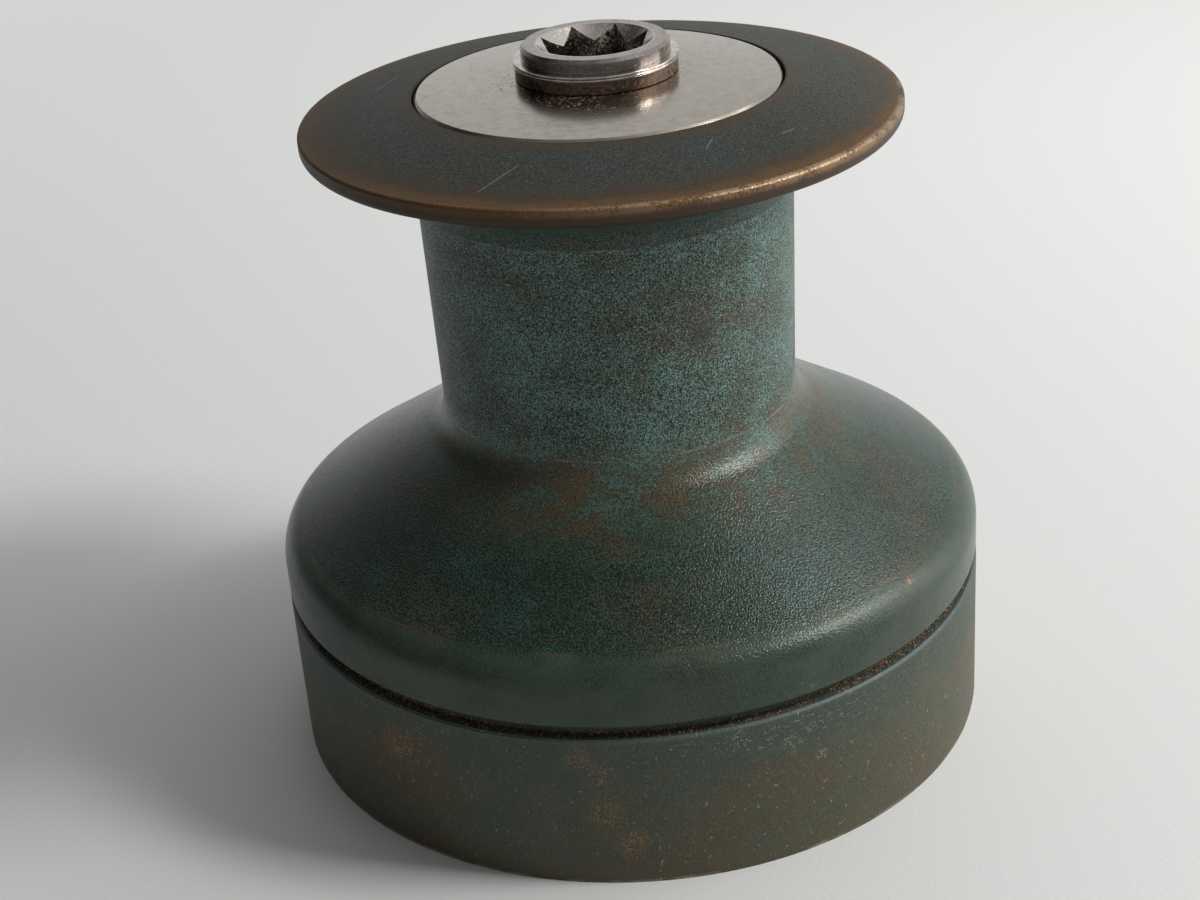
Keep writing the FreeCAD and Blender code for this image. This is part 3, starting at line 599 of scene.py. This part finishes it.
def baseBronze():
    look = baseLook
    finish = newFinish("base_bronze_patina", look)
    place = finish.place()
    height = finish.height(place)
    broad = finish.noise(place, "broad")
    middle = finish.noise(place, "middle")
    grain = finish.noise(place, "grain")
    speck = finish.noise(place, "speck")
    stipple = finish.noise(place, "stipple")
    wander = middle - noiseMiddle

    up = finish.zone(height + look["upWander"] * wander, "upZone")
    tone = finish.layer("greenClouds", look["olive"], middle + look["greenUp"] * up)
    tone = finish.layer("brownClouds", tone, broad + look["brownWander"] * wander - look["greenUp"] * up)
    tone = finish.layer("tealFlecks", tone, finish.noise(place, "fleck"))
    tone = finish.layer("hollows", tone, grain)
    tone = finish.layer("footBrown", tone, height + look["footWander"] * wander)

    bloom = finish.zone(speck + look["rustDrift"] * (broad - noiseMiddle), "rustBloom")
    rusty = bloom * look["bloomCover"]
    rustGrains = finish.zone(stipple, "rustGrains")
    for centre, size in look["rustPlaces"]:
        rusty = rusty + finish.spot(place, centre, size, middle) * rustGrains
    tone = finish.mix(rusty * look["rustCover"], tone, look["rust"])

    crusty = finish.zone(speck, "crustSpecks") * look["crustSpeckCover"]
    crustGrains = finish.zone(stipple + look["crustScatter"] * speck, "crustGrains")
    for centre, size in look["crustPlaces"]:
        crusty = crusty + finish.spot(place, centre, size, middle) * crustGrains
    scuffed = finish.zone(finish.towards(place, look["scuffedSide"]), "scuffedZone")
    scuffed = scuffed * finish.band(height, *look["scuffedBand"])
    crusty = crusty + scuffed * finish.zone(finish.noise(place, "scuff"), "scuffs") * look["scuffCover"]
    tone = finish.mix(crusty * look["crustCover"], tone, look["crust"])
    tone = finish.layer("dots", tone, finish.noise(place, "dot"))
    tone = finish.layer("footCrust", tone, height, finish.zone(middle, "footPatches"))

    # painted highlight: a pale bluish line along the top edge
    edge = finish.zone(height, "edgeHighlightHeights") * finish.zone(finish.radius(place), "edgeHighlightRadii")
    tone = finish.mix(edge * look["edgeHighlightCover"], tone, look["edge"])
    relief = grain + look["crustRelief"] * crusty + look["rustRelief"] * rusty
    return finish.surface({
        "Base Color": tone, "Roughness": look["roughness"] + look["roughPatches"] * wander,
        "Metallic": look["metallic"], "Specular IOR Level": look["specular"],
        "Normal": finish.bump(relief, look["grainDepth"]),
    })


# weathered steel of the cap, spindle, ring and collar
steelLook = {
    "mouth": (0.66, 0.61, 0.57),
    "stain": (0.27, 0.20, 0.155),
    "shade": (0.60, 0.58, 0.56),
    "pit": (0.06, 0.040, 0.030),
    "rust": (0.26, 0.125, 0.070),
    "middle": {"perMm": 0.10, "detail": 4, "rough": 0.60},
    "cloud": {"perMm": 0.45, "detail": 4, "rough": 0.60},
    "speck": {"perMm": 1.3, "detail": 4, "rough": 0.65, "shift": (9, 21, 3)},
    "fine": {"perMm": 1.6, "detail": 3, "rough": 0.60},
    "lines": {"perMm": 7.0, "detail": 3, "rough": 0.70},
    "lineSpread": 1.5,
    "lineShade": (0.3, 0.7),
    "lineShadeCover": 0.45,
    "cloudShade": (0.4, 0.7),
    "cloudShadeCover": 0.30,
    "collarWander": 8.0,
    "collarZone": (26.3, 16.3),
    "collarStain": ("stain", 0.35, 0.70, 0.35),
    "mouthZone": (13.1, 12.1),
    "mouthCover": 0.8,
    "rustWander": 0.5,
    "rustNearCollar": 0.12,
    "rustZone": (0.72, 0.82),
    "rustCover": 0.65,
    "rustCoverLost": 0.40,
    "pitDrift": 0.2,
    "pitZone": (0.76, 0.80),
    "pitCover": 0.8,
    "lineRough": 0.10,
    "cloudRough": 0.04,
    "rustRough": 0.25,
    "rustDull": 0.5,
    "pitDull": 0.3,
    "lineRelief": 0.25,
    "depth": 0.02,
    # what differs from one steel part to the next
    "kinds": {
        "cap_steel": {"name": "cap_steel_brushed", "tone": (0.445, 0.400, 0.352), "roughness": 0.17,
                      "rust": 0.08, "pits": 0.08},
        "spindle_steel": {"name": "spindle_steel_turned", "tone": (0.35, 0.32, 0.31), "roughness": 0.10,
                          "rust": 0.05, "pits": 0.05},
        "ring_steel": {"name": "ring_steel_bright", "tone": (0.70, 0.66, 0.61), "roughness": 0.12,
                       "rust": 0.0, "pits": 0.0},
        "collar_steel": {"name": "collar_steel_dark", "tone": (0.085, 0.067, 0.060), "roughness": 0.28,
                         "rust": 0.12, "pits": 0.06},
    },
}


def brushedSteel(kind):
    look = steelLook
    finish = newFinish(kind["name"], look)
    place = finish.place()
    radius = finish.radius(place)
    lines = finish.noise(finish.roundAbout(place, look["lineSpread"]), "lines")
    wander = finish.noise(place, "middle") - noiseMiddle
    cloud = finish.noise(place, "cloud")
    fine = finish.noise(place, "fine")
    speck = finish.noise(place, "speck")

    shaded = [part * shade for part, shade in zip(kind["tone"], look["shade"])]
    shading = finish.zone(lines, "lineShade") * look["lineShadeCover"]
    shading = shading + finish.zone(cloud, "cloudShade") * look["cloudShadeCover"]
    steel = finish.mix(shading, kind["tone"], shaded)
    nearCollar = finish.zone(radius + look["collarWander"] * wander, "collarZone")
    steel = finish.layer("collarStain", steel, cloud, nearCollar)
    inMouth = finish.zone(radius, "mouthZone")
    steel = finish.mix(inMouth * look["mouthCover"], steel, look["mouth"])
    rusting = speck + look["rustWander"] * wander + look["rustNearCollar"] * nearCollar
    rusty = finish.zone(rusting + kind["rust"], "rustZone")
    rustCover = look["rustCover"] - look["rustCoverLost"] * inMouth
    steel = finish.mix(rusty * rustCover, steel, look["rust"])
    pits = finish.zone(fine + look["pitDrift"] * (cloud - noiseMiddle) + kind["pits"], "pitZone")
    steel = finish.mix(pits * look["pitCover"], steel, look["pit"])

    roughness = kind["roughness"] + look["lineRough"] * (lines - noiseMiddle) + look["cloudRough"] * cloud
    return finish.surface({
        "Base Color": steel, "Roughness": roughness + look["rustRough"] * rusty,
        "Metallic": 1 - look["rustDull"] * rusty - look["pitDull"] * pits,
        "Normal": finish.bump(look["lineRelief"] * lines - pits, look["depth"]),
    })


# turned metal or plastic out of the weather, under a film of grease or wear
insideLook = {
    "lines": {"perMm": 5, "detail": 3, "rough": 0.70},
    "film": {"perMm": 0.14, "detail": 4, "rough": 0.60},
    "lineSpread": 2.0,
    "filmZone": (0.4, 0.8),
    "filmCover": 0.6,
    "filmRough": 0.1,
    "depth": 0.01,
    "kinds": {
        "stem_bronze": {"name": "stem_bronze_turned", "tone": (0.42, 0.29, 0.15),
                        "film": (0.22, 0.16, 0.09), "metallic": 0.9, "roughness": 0.38},
        "bush_bronze": {"name": "bush_bronze_turned", "tone": (0.55, 0.38, 0.18),
                        "film": (0.30, 0.20, 0.10), "metallic": 0.9, "roughness": 0.32},
        "gear_steel": {"name": "gear_steel_greased", "tone": (0.38, 0.37, 0.35),
                       "film": (0.10, 0.085, 0.06), "metallic": 0.9, "roughness": 0.35},
        "gear_bronze": {"name": "gear_bronze_cut", "tone": (0.50, 0.34, 0.16),
                        "film": (0.26, 0.18, 0.09), "metallic": 0.9, "roughness": 0.36},
        "bearing_plastic": {"name": "bearing_plastic_turned", "tone": (0.72, 0.70, 0.62),
                            "film": (0.50, 0.47, 0.40), "metallic": 0.0, "roughness": 0.42},
    },
}


def turnedInside(kind):
    look = insideLook
    finish = newFinish(kind["name"], look)
    place = finish.place()
    lines = finish.noise(finish.roundAbout(place, look["lineSpread"]), "lines")
    film = finish.noise(place, "film")
    filmed = finish.zone(film, "filmZone") * look["filmCover"]
    return finish.surface({
        "Base Color": finish.mix(filmed, kind["tone"], kind["film"]),
        "Roughness": kind["roughness"] + look["filmRough"] * film, "Metallic": kind["metallic"],
        "Normal": finish.bump(lines, look["depth"]),
    })


gritLook = {
    "dark": (0.14, 0.10, 0.065),
    "rusty": (0.44, 0.26, 0.14),
    "cloud": {"perMm": 0.9, "detail": 2, "rough": 0.50},
    "rustyGrains": ("rusty", 0.42, 0.60, 1.0),
    "roughness": 0.8,
}


def gapGrit():
    look = gritLook
    finish = newFinish("gap_grit_rust", look)
    tone = finish.layer("rustyGrains", look["dark"], finish.noise(finish.place(), "cloud"))
    return finish.surface({"Base Color": tone, "Roughness": look["roughness"]})


def makeFinishes():
    made = {"drum_bronze": drumBronze(), "base_bronze": baseBronze(), "gap_grit": gapGrit()}
    for slot, kind in steelLook["kinds"].items():
        made[slot] = brushedSteel(kind)
    for slot, kind in insideLook["kinds"].items():
        made[slot] = turnedInside(kind)
    return made


finishes = makeFinishes()
print("finishes made")


drumShape = {
    "lipInside": 74.4,
    "lipRound": 0.6,
    "shoulderHeight": 50.1,
    "shoulderRound": 7.9,
    "footRadius": 39.7,
    "footHeight": 74.8,
    "footRound": 10.0,
    "throatRadius": 40.9,
    "throatHeight": 131.0,
    "throatRound": 8.0,
    "rimRadius": 64.35,
    "rimUnderside": 140.5,
    "rimTop": 143.8,
    "rimTopRound": 0.8,
    "rimLowRound": 1.7,
    "capSeatHeight": 145.5,
    "capSeatRadius": 39.6,
    "edgeRound": 0.25,
    "boreRadius": 34.36,
    "boreTop": 135.9,
    "webRadius": 30.0,
    "coneInsideTop": 72.87,
    "gearSeatRadius": 66.0,
    "gearSeatHeight": 53.52,
    "gearSeatBottom": 48.5,
}


def buildDrum():
    shape = drumShape
    size = sizeOf("drum")
    outline = [
        (shape["lipInside"], size["low"]),
        (size["radius"], size["low"], shape["lipRound"]),
        (size["radius"], shape["shoulderHeight"], shape["shoulderRound"]),
        (shape["footRadius"], shape["footHeight"], shape["footRound"]),
        (shape["throatRadius"], shape["throatHeight"], shape["throatRound"]),
        (shape["rimRadius"], shape["rimUnderside"], shape["rimLowRound"]),
        (shape["rimRadius"], shape["rimTop"], shape["rimTopRound"]),
        (shape["capSeatRadius"], size["high"], shape["edgeRound"]),
        (shape["capSeatRadius"], shape["capSeatHeight"]),
        (shape["webRadius"], shape["capSeatHeight"]),
        (shape["webRadius"], shape["boreTop"]),
        (shape["boreRadius"], shape["boreTop"]),
        (shape["boreRadius"], shape["coneInsideTop"]),
        (shape["gearSeatRadius"], shape["gearSeatHeight"]),
        (shape["gearSeatRadius"], shape["gearSeatBottom"]),
        (shape["lipInside"], shape["gearSeatBottom"]),
    ]
    piece = turned("drum_casting", outline, "drum", finishes["drum_bronze"])
    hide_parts("drum")


buildDrum()
print("drum turned")


capShape = {
    "underside": 146.4,
    "ledge": 36.6,
    "bevel": 0.7,
    "rise": 1.95,
    "hole": 16.1,
    "holeEdge": 18.0,
    "sideRound": 0.15,
    "bevelRound": 0.25,
    "holeRound": 0.30,
}


def buildCap():
    shape = capShape
    size = sizeOf("top_cap")
    seat = drumShape["capSeatHeight"]
    edge = size["high"] - shape["rise"]
    outline = [
        (shape["ledge"], seat),
        (size["radius"], seat),
        (size["radius"], edge - shape["bevel"], shape["sideRound"]),
        (size["radius"] - shape["bevel"], edge, shape["bevelRound"]),
        (shape["holeEdge"], size["high"]),
        (shape["hole"], size["high"], shape["holeRound"]),
        (shape["hole"], shape["underside"]),
        (shape["ledge"], shape["underside"]),
    ]
    piece = turned("top_cap_plate", outline, "drum", finishes["cap_steel"])
    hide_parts("top_cap")


ringShape = {
    "inside": 15.1,
    "wireRound": 0.12,
    "roundSteps": 3,
    "coilFill": 0.94,  # how much of each coil's room its wire takes up
    "turns": 2,
    "stepsPerTurn": 144,
    "stepOver": 18,  # steps before and after the middle in which the wire climbs to its second coil
    "startAngle": 0.6,
}


def buildRing():
    # a flat wire wound twice, its coils lying on each other
    shape = ringShape
    size = sizeOf("retaining_ring")
    coil = (size["high"] - size["low"]) / shape["turns"]
    top = shape["coilFill"] * coil
    corners = [(shape["inside"], 0), (size["radius"], 0), (size["radius"], top), (shape["inside"], top)]
    section = rounded([(*corner, shape["wireRound"]) for corner in corners], shape["roundSteps"])
    steps = shape["turns"] * shape["stepsPerTurn"]
    rows = []
    for step in range(steps + 1):
        angle = 2 * pi * shape["turns"] * step / steps + shape["startAngle"]
        climb = min(1, max(0, (step - steps / 2 + shape["stepOver"]) / (2 * shape["stepOver"])))
        rows.append(carried(section, angle, size["low"] + coil * climb * climb * (3 - 2 * climb)))
    mesh = skinned("retaining_coils", rows, False)
    piece = newPiece("retaining_coils", mesh, "spindle", finishes["ring_steel"])
    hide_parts("retaining_ring")


buildCap()
buildRing()
print("cap and ring made")


gritShape = {
    "count": 5200,
    "ledge": 35.9,
    "ledgeRadii": (77.75, 79.3),
    "wallRadius": 77.6,
    "wallTop": 36.9,
    "size": 0.16,
    "sizeSpread": (0.5, 1.4),
    "cornerSpread": (0.7, 1.2),
    "standsOut": 0.4,
    "seed": 4,
}


def buildGrit():
    # grit in the gap under the drum, half on the ledge and half on the wall behind it
    shape = gritShape
    pick = random.Random(shape["seed"])
    template = bmesh.new()
    bmesh.ops.create_icosphere(template, subdivisions=1, radius=millimetre)
    corners = [corner.co.copy() for corner in template.verts]
    sides = [[corner.index for corner in face.verts] for face in template.faces]
    template.free()
    points = []
    faces = []
    for index in range(shape["count"]):
        angle = pick.uniform(0, 2 * pi)
        size = shape["size"] * pick.uniform(*shape["sizeSpread"])
        radius = pick.uniform(*shape["ledgeRadii"])
        height = shape["ledge"] + shape["standsOut"] * size
        if index % 2:
            radius = shape["wallRadius"] + shape["standsOut"] * size
            height = pick.uniform(shape["ledge"], shape["wallTop"])
        centre = Vector((radius * cos(angle), radius * sin(angle), height)) * millimetre
        faces += [[corner + len(points) for corner in side] for side in sides]
        points += [corner * size * pick.uniform(*shape["cornerSpread"]) + centre for corner in corners]
    mesh = bpy.data.meshes.new("gap_grit")
    mesh.from_pydata(points, [], faces)
    newPiece("gap_grit", mesh, "base", finishes["gap_grit"])


buildGrit()
print("grit laid in the gap")


def dressNodes():
    # the other parts keep their CAD shape
    slots = {part["node"]: part["material_slot"] for part in frame["record"]["subparts"]}
    for name, piece in nodes.items():
        if not piece.data.materials:
            piece.data.materials.append(finishes[slots[name]])
        for slot in piece.material_slots:
            slot.material = finishes[slots[name]]
    nodes["spindle_collar"].material_slots[0].material = finishes["collar_steel"]


dressNodes()
print("parts dressed")


floorLook = {
    "near": (0.71, 0.715, 0.71),
    # painted light: the sheet's paler tone behind the winch
    "behind": (0.97, 0.975, 0.97),
    "behindZone": (-100.0, 600.0),
    "haze": (0.80, 0.81, 0.79),
    "hazeZone": (300.0, 1400.0),
    "paper": {"perMm": 0.8, "detail": 2, "rough": 0.50},
    "paperDepth": 0.06,
    "roughness": 0.7,
    "radius": 12.0,  # in metres
    "sides": 96,
}


def buildFloor():
    look = floorLook
    finish = newFinish("floor_paper", look)
    place = finish.place()
    # the sheet is painted paler towards the back: painted light, standing for the brighter light far
    # behind the winch
    behind = finish.add("ShaderNodeSeparateXYZ", {}, {0: place}, "Y")
    sheetShader = finish.add("ShaderNodeBsdfPrincipled", {}, {
        "Base Color": finish.mix(finish.zone(behind, "behindZone"), look["near"], look["behind"]),
        "Roughness": look["roughness"],
        "Normal": finish.bump(finish.noise(place, "paper"), look["paperDepth"]),
    })
    # far off the sheet runs into the pale background
    seenDirectly = finish.add("ShaderNodeLightPath", {}, {}, "Is Camera Ray")
    farOff = finish.zone(finish.radius(place), "hazeZone") * seenDirectly
    haze = finish.add("ShaderNodeEmission", {}, {"Color": (*look["haze"], 1)})
    blended = finish.add("ShaderNodeMixShader", {}, {0: farOff, 1: sheetShader, 2: haze})
    finish.add("ShaderNodeOutputMaterial", {}, {"Surface": blended})
    mesh = bpy.data.meshes.new("floor")
    sheet = bmesh.new()
    bmesh.ops.create_circle(sheet, cap_ends=True, segments=look["sides"], radius=look["radius"])
    sheet.to_mesh(mesh)
    sheet.free()
    mesh.materials.append(finish.owner)
    floor = bpy.data.objects.new("floor", mesh)
    bpy.context.scene.collection.objects.link(floor)


roomLook = {
    "tone": (0.96, 0.98, 0.97),
    "dark": 0.11,
    "darkMirrored": 0.03,
    "bright": 0.85,
    "background": 0.80,
    "back": (0.85, 1.0, 0.50),
    "backZone": (-0.05, 0.95),
    "backMirroredZone": (0.1, 0.9),
    "front": (0.0, -0.85, 0.53),
    "frontZone": (0.0, 0.9),
    "frontMirrored": 0.24,
}


def buildWorld():
    # a pale room, brightest behind the winch
    look = roomLook
    world = bpy.data.worlds.new("studio")
    bpy.context.scene.world = world
    finish = Finish(world, look)
    direction = finish.add("ShaderNodeTexCoord", {}, {}, "Generated")
    toBack = finish.along(direction, Vector(look["back"]).normalized())
    toFront = finish.along(direction, Vector(look["front"]).normalized())
    seenDirectly = finish.add("ShaderNodeLightPath", {}, {}, "Is Camera Ray")
    seenInGloss = finish.add("ShaderNodeLightPath", {}, {}, "Is Glossy Ray")
    seenThrough = finish.add("ShaderNodeLightPath", {}, {}, "Is Transmission Ray")
    dark = look["dark"] + (look["darkMirrored"] - look["dark"]) * seenInGloss
    light = dark + (look["bright"] - look["dark"]) * finish.zone(toBack, "backZone")
    seen = seenDirectly + seenThrough + seenInGloss * finish.zone(toBack, "backMirroredZone")
    strength = light * (1 - seen) + look["background"] * seen
    # the steel mirrors a paler wall when it is seen from behind
    strength = strength + finish.zone(toFront, "frontZone") * seenInGloss * look["frontMirrored"]
    glow = finish.add("ShaderNodeBackground", {}, {"Color": (*look["tone"], 1), "Strength": strength})
    finish.add("ShaderNodeOutputWorld", {}, {"Surface": glow})


panelLook = {
    "tone": (1.0, 0.99, 0.965),
    "aim": (0.0, 0.0, 0.08),
    # places and sizes in metres, power in watts
    "panels": (
        {"name": "high_panel", "place": (0.90, -0.20, 0.90), "size": 0.30, "power": 9.1},
        {"name": "side_panel", "place": (1.10, 0.02, 0.50), "size": 0.90, "power": 5.8},
    ),
}


def buildPanels():
    look = panelLook
    for part in look["panels"]:
        lamp = bpy.data.lights.new(part["name"], "AREA")
        lamp.energy = part["power"]
        lamp.size = part["size"]
        lamp.color = look["tone"]
        panel = bpy.data.objects.new(part["name"], lamp)
        panel.location = part["place"]
        aim = Vector(look["aim"]) - panel.location
        panel.rotation_euler = aim.to_track_quat("-Z", "Y").to_euler()
        bpy.context.scene.collection.objects.link(panel)


cameraView = {
    "place": (0, -429.38, 279.02),
    "yaw": 0.013,  # angles in radians
    "pitchDown": 0.469,
    "roll": -0.078,
    "lens": 62.607,
    "sensor": 36.0,
}


def buildCamera():
    view = cameraView
    lens = bpy.data.cameras.new("photo_view")
    lens.lens = view["lens"]
    lens.sensor_width = view["sensor"]
    camera = bpy.data.objects.new("photo_view", lens)
    turn = (Matrix.Rotation(view["yaw"], 4, "Z") @ Matrix.Rotation(pi / 2 - view["pitchDown"], 4, "X")
            @ Matrix.Rotation(view["roll"], 4, "Z"))
    camera.matrix_world = Matrix.Translation(Vector(view["place"]) * millimetre) @ turn
    bpy.context.scene.collection.objects.link(camera)
    bpy.context.scene.camera = camera


buildFloor()
buildWorld()
buildPanels()
buildCamera()
bpy.context.scene.view_settings.view_transform = "Standard"
print("floor, light and camera set")
